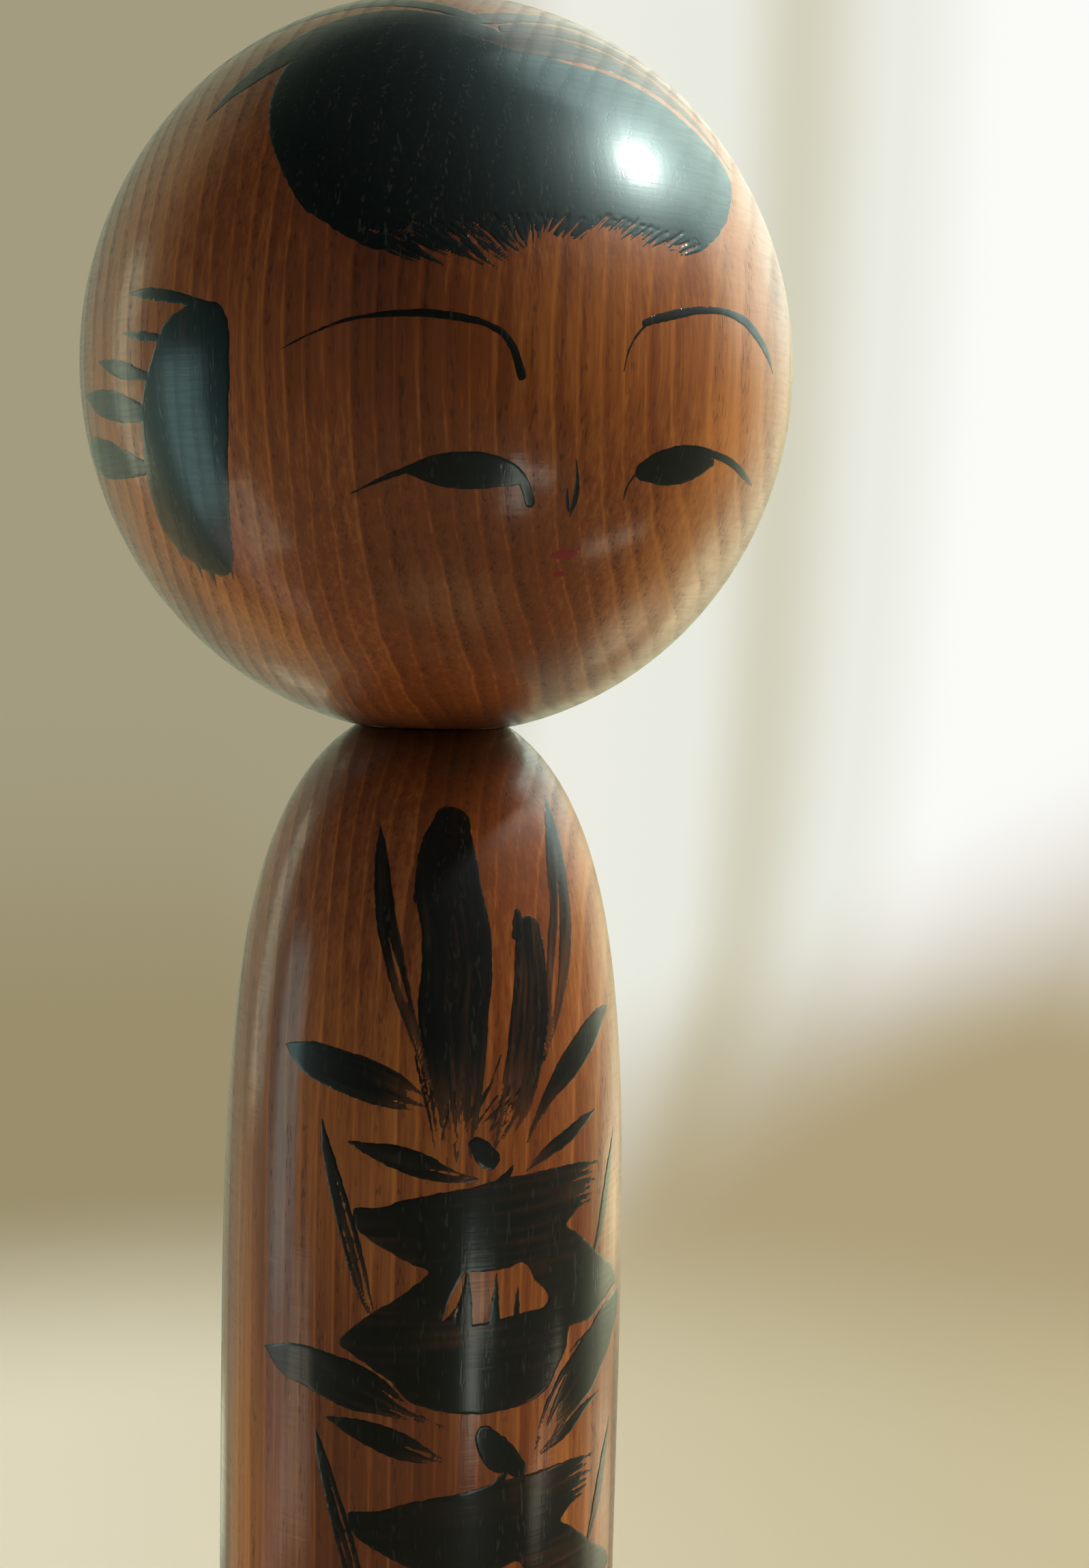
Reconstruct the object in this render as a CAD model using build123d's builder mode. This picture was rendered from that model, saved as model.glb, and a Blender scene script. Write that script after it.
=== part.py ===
"""Kokeshi doll: a turned wooden head that turns on a turned wooden body.

Three separate pieces of lathe work share the upright axis Z:
  body      a long barrel with a bullet-shaped shoulder, standing on a ring-shaped foot,
            with an undercut socket bored into its neck face
  neck_peg  a peg that is glued up into the head; its swollen lower end was forced past
            the lip of the socket, so it turns in there and can't be pulled out
  head      a ball, a little taller than wide, with a flat underneath and a blind bore

The origin is the centre of the foot, on the surface that the doll stands on.
The doll's face and the front of its body look along -Y. All sizes are in millimetres.
"""

import os
from math import acos, cos, degrees, radians, sin, tan

from build123d import *

# Body, outside
body_height = 209.0  # from the foot to the neck face
body_diameter = 54.8  # at the widest, where the flank stands upright
neck_face_diameter = 20.0  # the flat on top, before its edge is rounded
neck_face_round = 0.8
shoulder_drop = 95.0  # from the neck face down to the widest place
shoulder_slope = 32.5  # degrees below level where the shoulder leaves the neck face
shoulder_run = 21.0  # how far it keeps to that slope: more makes a squarer shoulder
flank_run = 47.0  # how far the upright flank reaches up before it bends in
foot_diameter = 52.4
foot_round = 1.6

# Body, underneath: a shallow dish leaves a ring to stand on
dish_diameter = 37.0
dish_depth = 1.1
centre_mark_diameter = 3.2  # left by the lathe's centre
centre_mark_depth = 2.4

# Head
head_diameter = 93.0
head_full_height = 95.2  # of the whole egg, before the flat is cut
head_face_diameter = 23.5  # the flat underneath
seam_gap = 0.3  # between the head's flat and the body's neck face

# Socket in the body
lip_length = 5.5  # of the narrow mouth
lip_lead_in = 0.6
drill_point_angle = 118.0  # included angle of the cone that the drill leaves

# Peg: bulb behind the lip, neck through the lip, shank in the head
bulb_diameter = 13.2
bulb_length = 13.0
bulb_nose_length = 8.0  # of the bulb's rounded lower part
bulb_tip_diameter = 9.0
neck_diameter = 12.0
shank_diameter = 14.0
shank_length = 25.0
shank_chamfer = 1.0
glue_groove_count = 3
glue_groove_width = 1.6
glue_groove_depth = 0.5

# Clearances
turning_clearance = 0.08  # all round the neck and the bulb
lip_clearance = 0.2  # between the bulb and the underside of the lip
glue_clearance = 0.05  # all round the shank
end_clearance = 1.5  # beyond either end of the peg

# Heights that follow from the sizes
face_angle = acos(head_face_diameter / head_diameter)  # from level to the edge of the flat
head_face = body_height + seam_gap
head_centre = head_face + head_full_height / 2 * sin(face_angle)
lip_underside = body_height - lip_length
bulb_top = lip_underside - lip_clearance
bulb_end = bulb_top - bulb_length
socket_floor = bulb_end - end_clearance
shank_top = head_face + shank_length
bore_end = shank_top + end_clearance


def drill_point(radius):
    """Height of the cone at the end of a drilled hole of this radius."""
    return radius / tan(radians(drill_point_angle / 2))


def rings(part, radius, height):
    """The circular edges of this radius at this height."""
    return part.edges().filter_by(
        lambda edge: edge.geom_type == GeomType.CIRCLE
        and abs(edge.radius - radius) < 1e-4
        and abs(edge.arc_center.Z - height) < 1e-4
    )


# Body: foot, flank and shoulder in one turned outline
neck_edge = (neck_face_diameter / 2, body_height)
shoulder_pull = (
    neck_face_diameter / 2 + shoulder_run * cos(radians(shoulder_slope)),
    body_height - shoulder_run * sin(radians(shoulder_slope)),
)
widest = (body_diameter / 2, body_height - shoulder_drop)
flank_pull = (body_diameter / 2, body_height - shoulder_drop + flank_run)
foot_edge = (foot_diameter / 2, 0)

with BuildPart() as body:
    with BuildSketch(Plane.XZ):
        with BuildLine():
            Bezier(neck_edge, shoulder_pull, flank_pull, widest)
            TangentArc(widest, foot_edge, tangent=(0, -1))
            Polyline(foot_edge, (0, 0), (0, body_height), neck_edge)
        make_face()
    revolve(axis=Axis.Z)
    fillet(rings(body, foot_diameter / 2, 0), foot_round)
    fillet(rings(body, neck_face_diameter / 2, body_height), neck_face_round)

    # Dish and centre mark in the foot
    with BuildSketch(Plane.XZ):
        with BuildLine():
            dish = ThreePointArc((-dish_diameter / 2, 0), (0, dish_depth), (dish_diameter / 2, 0))
            Line(dish @ 0, dish @ 1)
        make_face()
        split(bisect_by=Plane.YZ)
    revolve(axis=Axis.Z, mode=Mode.SUBTRACT)
    with Locations((0, 0, dish_depth)):
        Cone(
            centre_mark_diameter / 2,
            0,
            centre_mark_depth,
            align=(Align.CENTER, Align.CENTER, Align.MIN),
            mode=Mode.SUBTRACT,
        )

    # Socket: lead-in, lip, undercut chamber and drill point
    lip_radius = neck_diameter / 2 + turning_clearance
    chamber_radius = bulb_diameter / 2 + turning_clearance
    with BuildSketch(Plane.XZ):
        with BuildLine():
            Polyline(
                (0, body_height),
                (lip_radius + lip_lead_in, body_height),
                (lip_radius, body_height - lip_lead_in),
                (lip_radius, lip_underside),
                (chamber_radius, lip_underside),
                (chamber_radius, socket_floor),
                (0, socket_floor - drill_point(chamber_radius)),
                close=True,
            )
        make_face()
    revolve(axis=Axis.Z, mode=Mode.SUBTRACT)

# Head: an egg cut flat underneath, with a blind bore for the peg
with BuildPart() as head:
    with BuildSketch(Plane.XZ):
        with BuildLine():
            egg = EllipticalCenterArc(
                (0, head_centre),
                head_diameter / 2,
                head_full_height / 2,
                start_angle=90,
                arc_size=-90 - degrees(face_angle),
            )
            Polyline(egg @ 1, (0, head_face), egg @ 0)
        make_face()
    revolve(axis=Axis.Z)

    bore_radius = shank_diameter / 2 + glue_clearance
    with BuildSketch(Plane.XZ):
        with BuildLine():
            Polyline(
                (0, head_face),
                (bore_radius, head_face),
                (bore_radius, bore_end),
                (0, bore_end + drill_point(bore_radius)),
                close=True,
            )
        make_face()
    revolve(axis=Axis.Z, mode=Mode.SUBTRACT)

# Peg: bulb with a rounded nose, neck and shank in one turned outline
with BuildPart() as neck_peg:
    with BuildSketch(Plane.XZ):
        with BuildLine():
            nose_top = (bulb_diameter / 2, bulb_end + bulb_nose_length)
            nose = TangentArc(nose_top, (bulb_tip_diameter / 2, bulb_end), tangent=(0, -1))
            Polyline(nose @ 1, (0, bulb_end), (0, shank_top), (shank_diameter / 2, shank_top))
            Polyline(
                (shank_diameter / 2, shank_top),
                (shank_diameter / 2, head_face),
                (neck_diameter / 2, head_face),
                (neck_diameter / 2, bulb_top),
                (bulb_diameter / 2, bulb_top),
                nose_top,
            )
        make_face()
    revolve(axis=Axis.Z)
    chamfer(rings(neck_peg, shank_diameter / 2, shank_top), shank_chamfer)

    # Glue grooves, evenly spaced along the shank
    groove_pitch = shank_length / (glue_groove_count + 1)
    groove_heights = [head_face + groove_pitch * (i + 1) for i in range(glue_groove_count)]
    with BuildSketch(Plane.XZ):
        with Locations([(shank_diameter / 2, height) for height in groove_heights]):
            Rectangle(2 * glue_groove_depth, glue_groove_width)
    revolve(axis=Axis.Z, mode=Mode.SUBTRACT)

# The peg turns in the body's socket without limit, and the head rides on the peg
neck = Axis((0, 0, body_height), (0, 0, 1))
seat = Location((0, 0, head_face))
RevoluteJoint("socket", to_part=body.part, axis=neck, angular_range=(-180, 180))
RigidJoint("pivot", to_part=neck_peg.part, joint_location=neck.location)
RigidJoint("shank", to_part=neck_peg.part, joint_location=seat)
RigidJoint("bore", to_part=head.part, joint_location=seat)
body.part.joints["socket"].connect_to(neck_peg.part.joints["pivot"], angle=0)
neck_peg.part.joints["shank"].connect_to(head.part.joints["bore"])

body.part.label = "body"
head.part.label = "head"
neck_peg.part.label = "neck_peg"

os.makedirs("parts", exist_ok=True)
for piece in (body.part, head.part, neck_peg.part):
    export_step(piece, f"parts/{piece.label}.step")
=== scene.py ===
"""Looks of the kokeshi doll: turned, varnished wood with brush painting in black ink.

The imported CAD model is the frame, and its own head, body and peg show, with wood materials.
The painting is a thin film of ink on the wood, one mesh for each group of brush strokes.
A place on the head is (longitude, latitude) in degrees, and on the body it is
(longitude in degrees, height in mm). Longitude 0 is the doll's front, which looks along -Y,
and it grows towards the doll's left hand, +X. Widths of brush strokes are in mm.
"""

from math import asin, cos, pi, radians, sin

import bpy
import numpy as np
from mathutils import Matrix, Vector


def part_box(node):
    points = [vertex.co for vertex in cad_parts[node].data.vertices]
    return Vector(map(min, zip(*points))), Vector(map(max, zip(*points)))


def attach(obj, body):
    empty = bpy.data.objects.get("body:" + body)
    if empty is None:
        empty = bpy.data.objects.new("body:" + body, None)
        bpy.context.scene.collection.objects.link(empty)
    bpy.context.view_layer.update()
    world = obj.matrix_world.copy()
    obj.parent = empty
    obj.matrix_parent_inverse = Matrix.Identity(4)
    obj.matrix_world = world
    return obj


MM = 0.001  # metres in a millimetre

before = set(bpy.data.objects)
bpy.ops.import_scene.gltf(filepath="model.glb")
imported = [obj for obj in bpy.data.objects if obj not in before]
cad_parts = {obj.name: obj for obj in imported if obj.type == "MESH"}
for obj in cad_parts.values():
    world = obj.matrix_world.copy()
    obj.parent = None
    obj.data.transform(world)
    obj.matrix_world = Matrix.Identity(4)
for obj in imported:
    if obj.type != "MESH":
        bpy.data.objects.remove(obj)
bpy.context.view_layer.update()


def srgb(red, green, blue):
    """A colour as picked on a screen, 0 to 255, as the linear colour that Blender takes."""
    linear = []
    for value in (red, green, blue):
        share = value / 255
        linear.append(share / 12.92 if share <= 0.04045 else ((share + 0.055) / 1.055) ** 2.4)
    return (*linear, 1.0)


def direction(longitude, latitude):
    """Unit vectors from the doll outwards, at longitudes and latitudes in degrees."""
    lon, lat = np.radians(longitude), np.radians(latitude)
    return np.stack([np.cos(lat) * np.sin(lon), -np.cos(lat) * np.cos(lon), np.sin(lat)], -1)


def add_object(name, data):
    thing = bpy.data.objects.new(name, data)
    bpy.context.scene.collection.objects.link(thing)
    return thing


def add_mesh(name, places, faces, material):
    mesh = bpy.data.meshes.new(name)
    mesh.from_pydata(places, [], faces)
    mesh.shade_smooth()
    mesh.materials.append(material)
    return add_object(name, mesh)


# ---------------------------------------------------------------- smooth lines and noise


def smooth_line(points, spacing):
    """A smooth curve through the points, in even steps. Columns after x and y ride along."""
    points = np.asarray(points, float)
    gaps = np.linalg.norm(np.diff(points[:, :2], axis=0), axis=1)
    along = np.concatenate([[0.0], np.cumsum(gaps)])
    slopes = np.gradient(points, along, axis=0)
    places = np.linspace(0, along[-1], max(3, int(along[-1] / spacing) + 1))
    before = np.clip(np.searchsorted(along, places, side="right") - 1, 0, len(points) - 2)
    span = (along[before + 1] - along[before])[:, None]
    t = (places - along[before])[:, None] / span
    start, end = points[before], points[before + 1]
    leave, arrive = slopes[before] * span, slopes[before + 1] * span
    curve = (2 * t**3 - 3 * t**2 + 1) * start + (t**3 - 2 * t**2 + t) * leave
    curve += (3 * t**2 - 2 * t**3) * end + (t**3 - t**2) * arrive
    return curve


def smoothstep(low, high, value):
    """0 below low, 1 above high, and a smooth rise between them."""
    t = np.clip((value - low) / (high - low), 0, 1)
    return t * t * (3 - 2 * t)


def noise(x, y, seed):
    """Smooth noise from 0 to 1 whose blobs are about one unit wide."""
    size = 128
    lattice = np.random.default_rng(seed).random((size, size))
    column, row = np.floor(x).astype(int), np.floor(y).astype(int)
    across, up = smoothstep(0, 1, x - column), smoothstep(0, 1, y - row)
    left, right = column % size, (column + 1) % size
    low, high = row % size, (row + 1) % size
    bottom = lattice[low, left] * (1 - across) + lattice[low, right] * across
    top = lattice[high, left] * (1 - across) + lattice[high, right] * across
    return bottom * (1 - up) + top * up


# ---------------------------------------------------------------- charts of the two surfaces

SAME_HEIGHT = 0.001  # mm within which vertices lie on one level
OUTLINE_STEP = 0.8  # mm of height between the places where the body's outline is read
SKIN = 2.0  # mm under the outline, below which a vertex belongs to the socket or the dish

head_low, head_high = (np.array(corner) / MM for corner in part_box("head"))
body_high = np.array(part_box("body")[1]) / MM


def vertices_of(node):
    """Radius and height of a CAD node's vertices, in mm."""
    places = np.array([vertex.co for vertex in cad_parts[node].data.vertices]) / MM
    return np.hypot(places[:, 0], places[:, 1]), places[:, 2]


class HeadChart:
    """The head's egg laid flat round one place, with true distances from that place."""

    def __init__(self, longitude, latitude):
        radii, heights = vertices_of("head")
        flat_radius = radii[heights < head_low[2] + SAME_HEIGHT].max()
        self.wide = head_high[0]
        rise = cos(asin(flat_radius / self.wide))
        self.tall = (head_high[2] - head_low[2]) / (1 + rise)
        self.centre = head_high[2] - self.tall
        self.out = direction(longitude, latitude)
        self.east = direction(longitude + 90, 0)
        self.north = np.cross(self.out, self.east)

    def flat(self, longitude, latitude):
        """The chart place, in mm, of a longitude and latitude."""
        away = direction(longitude, latitude)
        east, north = away @ self.east, away @ self.north
        side = np.hypot(east, north)
        angle = np.arctan2(side, away @ self.out)
        reach = self.wide * angle / np.maximum(side, 1e-9)
        return np.stack([east * reach, north * reach], -1)

    def solid(self, x, y, lift):
        """The points, in metres, at chart places x and y and this far above the wood."""
        reach = np.maximum(np.hypot(x, y), 1e-9)
        angle = reach / self.wide
        turn = np.sin(angle) / reach
        away = np.cos(angle)[:, None] * self.out
        away = away + (turn * x)[:, None] * self.east + (turn * y)[:, None] * self.north
        radii = np.array([self.wide, self.wide, self.tall])
        normal = away / radii
        normal /= np.linalg.norm(normal, axis=1)[:, None]
        return (away * radii + normal * lift[:, None] + [0, 0, self.centre]) * MM


class BodyChart:
    """The body's outside laid flat: across is the way round, up is the way along its outline."""

    def __init__(self):
        radii, heights = vertices_of("body")
        order = np.argsort(heights)
        radii, heights = radii[order], heights[order]
        kept = []
        for radius, height in zip(radii, heights):
            if kept and height - kept[-1][1] < OUTLINE_STEP:
                continue
            level = radii[np.abs(heights - height) < OUTLINE_STEP / 2]
            if radius > level.max() - SKIN:
                kept.append((radius, height))
        outline = smooth_line(kept, OUTLINE_STEP / 8)
        self.radius, self.height = outline.T
        steps = np.hypot(*np.diff(outline, axis=0).T)
        self.along = np.concatenate([[0.0], np.cumsum(steps)])
        self.lean = np.gradient(self.radius, self.along)

    def flat(self, longitude, height):
        """The chart place, in mm, of a longitude and a height."""
        radius = np.interp(height, self.height, self.radius)
        return np.stack([np.radians(longitude) * radius, np.interp(height, self.height, self.along)], -1)

    def solid(self, x, y, lift):
        """The points, in metres, at chart places x and y and this far above the wood."""
        radius = np.interp(y, self.along, self.radius)
        lean = np.interp(y, self.along, self.lean)
        turn = x / radius
        radius = radius + lift * np.sqrt(1 - lean**2)
        height = np.interp(y, self.along, self.height) - lift * lean
        return np.stack([radius * np.sin(turn), -radius * np.cos(turn), height], -1) * MM


# ---------------------------------------------------------------- the camera

CAMERA_AZIMUTH = -22.0  # degrees round the doll from its front
CAMERA_DISTANCE = 292.5  # mm from the doll's axis, level
CAMERA_DROP = 23.4  # mm below the middle of the head's egg
CAMERA_PAN = 2.99  # degrees that it looks to the right of the axis
CAMERA_PITCH = 6.0  # degrees that it looks down
CAMERA_ROLL = 1.36  # degrees that it leans to its left
LENS = 50.0  # mm
SENSOR = 36.0  # mm, its width


def add_camera():
    """The camera stands where the photographer stood."""
    data = bpy.data.cameras.new("camera")
    data.lens = LENS
    data.sensor_width = SENSOR
    camera = add_object("camera", data)
    place = Vector(direction(CAMERA_AZIMUTH, 0)) * CAMERA_DISTANCE
    place.z = HeadChart(0, 0).centre - CAMERA_DROP
    turned = Matrix.Rotation(radians(CAMERA_AZIMUTH - CAMERA_PAN), 4, "Z")
    turned @= Matrix.Rotation(radians(90 - CAMERA_PITCH), 4, "X")
    turned @= Matrix.Rotation(radians(CAMERA_ROLL), 4, "Z")
    camera.matrix_world = Matrix.Translation(place * MM) @ turned
    bpy.context.scene.camera = camera


add_camera()


# ---------------------------------------------------------------- materials


class Nodes:
    """Adds nodes to a tree. An input is a number, a tuple or another node's output."""

    def __init__(self, tree):
        self.tree = tree

    def feed(self, node, inputs):
        """Sets inputs of a node, or links them to other nodes."""
        for socket, value in inputs.items():
            if isinstance(value, bpy.types.NodeSocket):
                self.tree.links.new(value, node.inputs[socket])
            else:
                node.inputs[socket].default_value = value
        return node

    def add(self, kind, inputs=None, **settings):
        node = self.tree.nodes.new(kind)
        for name, value in settings.items():
            setattr(node, name, value)
        return self.feed(node, inputs or {})

    def math(self, operation, *values):
        return self.add("ShaderNodeMath", dict(enumerate(values)), operation=operation).outputs[0]

    def times(self, first, second):
        return self.math("MULTIPLY", first, second)

    def total(self, start, *parts):
        """The start plus each part times its share."""
        for part, share in parts:
            start = self.math("MULTIPLY_ADD", part, share, start)
        return start

    def vector(self, operation, *values):
        node = self.add("ShaderNodeVectorMath", dict(enumerate(values)), operation=operation)
        return node.outputs["Value" if operation in ("DOT_PRODUCT", "LENGTH") else "Vector"]

    def noise(self, place, stretch, scale, detail=1.0):
        """Noise, drawn out along the axes where the stretch is below 1."""
        inputs = {"Vector": self.vector("MULTIPLY", place, stretch), "Scale": scale, "Detail": detail}
        return self.add("ShaderNodeTexNoise", inputs).outputs["Fac"]

    def range(self, value, low, high, to_low=0.0, to_high=1.0, kind="SMOOTHSTEP"):
        inputs = {"Value": value, "From Min": low, "From Max": high, "To Min": to_low, "To Max": to_high}
        return self.add("ShaderNodeMapRange", inputs, interpolation_type=kind).outputs["Result"]

    def mix(self, factor, first, second):
        """A mix of colours, which is what sockets 6 and 7 of a mix node and its output 2 are for."""
        return self.add("ShaderNodeMix", {0: factor, 6: first, 7: second}, data_type="RGBA").outputs[2]

    def ramp(self, value, stops, kind="LINEAR"):
        node = self.add("ShaderNodeValToRGB", {"Fac": value})
        node.color_ramp.interpolation = kind
        for extra in stops[2:]:
            node.color_ramp.elements.new(extra[0])
        for element, (place, colour) in zip(node.color_ramp.elements, stops):
            element.position = place
            element.color = colour
        return node.outputs["Color"]


def cleared(owner):
    """The node helper of a material or world, after its own nodes are gone."""
    owner.use_nodes = True
    owner.node_tree.nodes.clear()
    return Nodes(owner.node_tree)


def new_group(name, outputs, inputs=None):
    """An empty node group and its node helper. Sockets are given as name: kind."""
    tree = bpy.data.node_groups.new(name, "ShaderNodeTree")
    for side, sockets in (("OUTPUT", outputs), ("INPUT", inputs or {})):
        for socket, kind in sockets.items():
            tree.interface.new_socket(socket, in_out=side, socket_type=f"NodeSocket{kind}")
    return tree, Nodes(tree)


RING_PITCH = 2.6  # mm between growth rings
RING_TURN = -28.0  # longitude at which the rings are seen edge on
RING_WANDER = 4.0  # mm that a ring strays slowly from its circle
RING_WOBBLE = 0.7  # mm that it strays at short range
PITH_AWAY = 160.0  # mm from the doll's axis to the heart of the tree
SAPWOOD = (5.0, 45.0)  # mm from the axis, away from the pith, over which the wood turns paler
NECK_SHADE_REACH = (24.0, 9.0)  # mm from the joint at the neck over which the painted shade under the head deepens

WOOD_TONES = ((0.42, srgb(82, 38, 17)), (0.66, srgb(122, 62, 26)), (0.95, srgb(184, 114, 52)))
WOOD_PORE = srgb(52, 22, 13)
# The colour of the painted shade round the joint at the neck
NECK_SHADE_COLOUR = srgb(34, 18, 10)


def wood_group():
    """The wood's colour with painted shade at the neck, and its pores, relief and gloss, from the place in
    the row frame.
    """
    tree, n = new_group("wood", {"Color": "Color", "Pores": "Float", "Relief": "Float", "Gloss": "Float"})
    place = n.add("ShaderNodeTexCoord").outputs["Object"]
    place = n.vector("MULTIPLY", place, (1 / MM,) * 3)

    def grain(share, scale, detail=1.0):
        """Noise drawn out along the trunk, where only a share of the height counts."""
        return n.noise(place, (1, 1, share), scale, detail)

    # Growth rings: cylinders round a pith far outside the doll, a little uneven
    turn = radians(RING_TURN)
    across = n.vector("DOT_PRODUCT", place, (cos(turn), sin(turn), 0))
    depth = n.vector("DOT_PRODUCT", place, (-sin(turn), cos(turn), 0))
    from_pith = n.add("ShaderNodeCombineXYZ", {"X": n.math("ADD", across, PITH_AWAY), "Y": depth})
    away = n.vector("LENGTH", from_pith.outputs[0])
    away = n.total(away, (grain(0.06, 0.06), RING_WANDER), (grain(0.06, 0.4), RING_WOBBLE))
    ring = n.math("DIVIDE", away, RING_PITCH)
    phase, number = n.math("FRACT", ring), n.math("FLOOR", ring)
    ring_tone = n.add("ShaderNodeTexWhiteNoise", {"W": number}, noise_dimensions="1D").outputs["Value"]
    early = n.times(n.range(phase, 0.0, 0.1), n.range(phase, 0.6, 0.2))
    early = n.times(early, n.range(grain(0.25, 0.11), 0.3, 0.65, 0.3, 1.0))
    rim = n.times(n.range(phase, 0.8, 0.9), n.range(phase, 1.0, 0.93))

    # Fibres and pores: fine streaks and short dark dashes along the grain
    streak, fibre = grain(0.02, 1.3), grain(0.04, 4.0)
    dashes = n.range(grain(0.2, 3.0, 0.0), 0.6, 0.72)
    pores = n.times(dashes, n.range(early, 0.0, 0.8, 0.15, 1.0, "LINEAR"))

    # Colour: broad tone, ring by ring, then fibres and pores
    shares = ((grain(0.3, 0.04), 0.7), (ring_tone, 0.06), (streak, 0.22), (fibre, 0.18))
    tone = n.total(0.1, *shares, (early, -0.08), (rim, 0.07), (n.range(across, *SAPWOOD), 0.2))
    colour = n.ramp(tone, WOOD_TONES)
    colour = n.mix(n.times(pores, 0.45), colour, WOOD_PORE)

    # Painted shade round the joint at the neck, darkest where the head overhangs the shoulder
    from_neck = n.vector("LENGTH", n.vector("SUBTRACT", place, (0, 0, body_high[2])))
    colour = n.mix(n.times(n.range(from_neck, *NECK_SHADE_REACH), 0.7), colour, NECK_SHADE_COLOUR)

    # Relief in mm: the lathe's fine rings, fibres, sunken early wood and open pores
    turned = n.noise(place, (0.02, 0.02, 1), 2.4, 2.0)
    relief = n.total(0.0, (turned, 0.007), (fibre, 0.003), (early, -0.003), (pores, -0.006))

    # The varnish sank into the early wood and is scratched round the lathe's axis
    scratched = n.noise(place, (0.05, 0.05, 1), 3.4)
    gloss = n.times(n.total(1.0, (early, -0.3)), n.range(scratched, 0.35, 0.6, 0.8, 1.0))

    n.add("NodeGroupOutput", {"Color": colour, "Pores": pores, "Relief": relief, "Gloss": gloss})
    return tree


def new_material(name):
    """A material, its node helper and its Principled shader."""
    material = bpy.data.materials.new(name)
    n = cleared(material)
    return material, n, n.add("ShaderNodeBsdfPrincipled")


def finish_surface(n, shader):
    """Makes a shader the one that the material shows."""
    n.add("ShaderNodeOutputMaterial", {"Surface": shader.outputs[0]})


def wood_and_normal(n, strength):
    """The wood group's outputs, and the normal that its relief gives at this strength."""
    wood = n.add("ShaderNodeGroup", node_tree=wood_nodes).outputs
    bump = n.add("ShaderNodeBump", {"Height": wood["Relief"], "Distance": MM, "Strength": strength})
    return wood, bump.outputs[0]


def varnish(n, shader, wood, normal):
    """The clear gloss over wood and ink alike."""
    n.feed(shader, {"Coat Weight": wood["Gloss"], "Coat Normal": normal})
    n.feed(shader, {"Coat Roughness": 0.13, "Coat IOR": 1.5})


def wood_material(name, glossy=True):
    """Wood under varnish, or bare wood."""
    material, n, shader = new_material(name)
    wood, normal = wood_and_normal(n, 1.0)
    rough = n.range(wood["Pores"], 0, 1, 0.42, 0.62, "LINEAR")
    n.feed(shader, {"Base Color": wood["Color"], "Normal": normal, "Roughness": rough})
    n.feed(shader, {"Specular IOR Level": 0.45})
    if glossy:
        varnish(n, shader, wood, normal)
    finish_surface(n, shader)
    return material


def dress(node, material):
    """Gives a CAD node its Blender material."""
    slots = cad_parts[node].data.materials
    slots.clear()
    slots.append(material)


wood_nodes = wood_group()
dress("head", wood_material("varnished_head_wood"))
dress("body", wood_material("varnished_body_wood"))
dress("neck_peg", wood_material("bare_peg_wood", glossy=False))


# ---------------------------------------------------------------- ink: strokes and films

INK_LIFT = 0.024  # mm that the middle of a film stands above the wood
INK_EDGE = 0.3  # mm over which a film's edge thins out
INK_SUNK = 0.25  # share of its lift that a film's very edge lies under the wood
LINE_STEP = 0.8  # mm between the points of a stroke's spine
MARGIN = 0.5  # mm looked at beyond a mark's outline
OUTSIDE = -1.0  # mm, the depth in the ink where there is none
LEAST_SPOT = 14  # grid places that a spot of ink covers at least

# Share of each kind of bristle, how many of them to a mm, and the mm that each keeps its ink
BRISTLES = ((0.65, 2.3, 7), (0.35, 5.5, 4))
BRISTLE_WET = 0.22  # share of the most ink that even the driest bristle of a wet brush carries
BRISTLE_DRIED = 0.9  # share that every bristle of a dry brush lacks
BRISTLE_DEPTH = 1.2  # mm, what the most ink counts as
DRY_THIN = 0.4  # how much thinner the ink of a dry brush is

INK_BLACK = srgb(19, 15, 12)
HAIR_BLACK = srgb(16, 18, 18)
INK_THIN = srgb(50, 30, 20)
# Pale grey over open pores: partly pores the ink left unfilled, partly painted glints of the pores in the
# varnish
PALE_PORE_AND_GLINT = srgb(66, 66, 60)
INK_RED = srgb(124, 26, 28)
INK_SHEEN = (0.8, 0.95, 1.0, 1.0)
HAIR_SHEEN = (0.5, 0.9, 1.0, 1.0)


def nearest_on(line, x, y):
    """Distance to a line, the side of it that a place is on, and the way along to there."""
    best = np.full(x.shape, np.inf)
    side, along = np.zeros(x.shape), np.zeros(x.shape)
    start = 0.0
    for (x0, y0), (x1, y1) in zip(line[:-1, :2], line[1:, :2]):
        dx, dy = x1 - x0, y1 - y0
        length = max(np.hypot(dx, dy), 1e-6)
        share = np.clip(((x - x0) * dx + (y - y0) * dy) / length**2, 0, 1)
        off_x, off_y = x - x0 - share * dx, y - y0 - share * dy
        distance = off_x**2 + off_y**2
        closer = distance < best
        best[closer] = distance[closer]
        side[closer] = ((dx * off_y - dy * off_x) / length)[closer]
        along[closer] = (start + share * length)[closer]
        start += length
    return np.sqrt(best), side, along


class Mark:
    """What the brush lays in one go. A style value replaces the one that its class names."""

    seed = 1
    bare = False  # wood left bare, not ink

    def __init__(self, *places, **style):
        self.places = np.array(places, float)
        vars(self).update(style)

    def uneven(self, x, y, waves):
        """How far out the edge strays near each place, in mm, with so many waves to a mm."""
        return self.wobble * (noise(x * waves, y * waves, self.seed) * 2 - 1)


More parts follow.
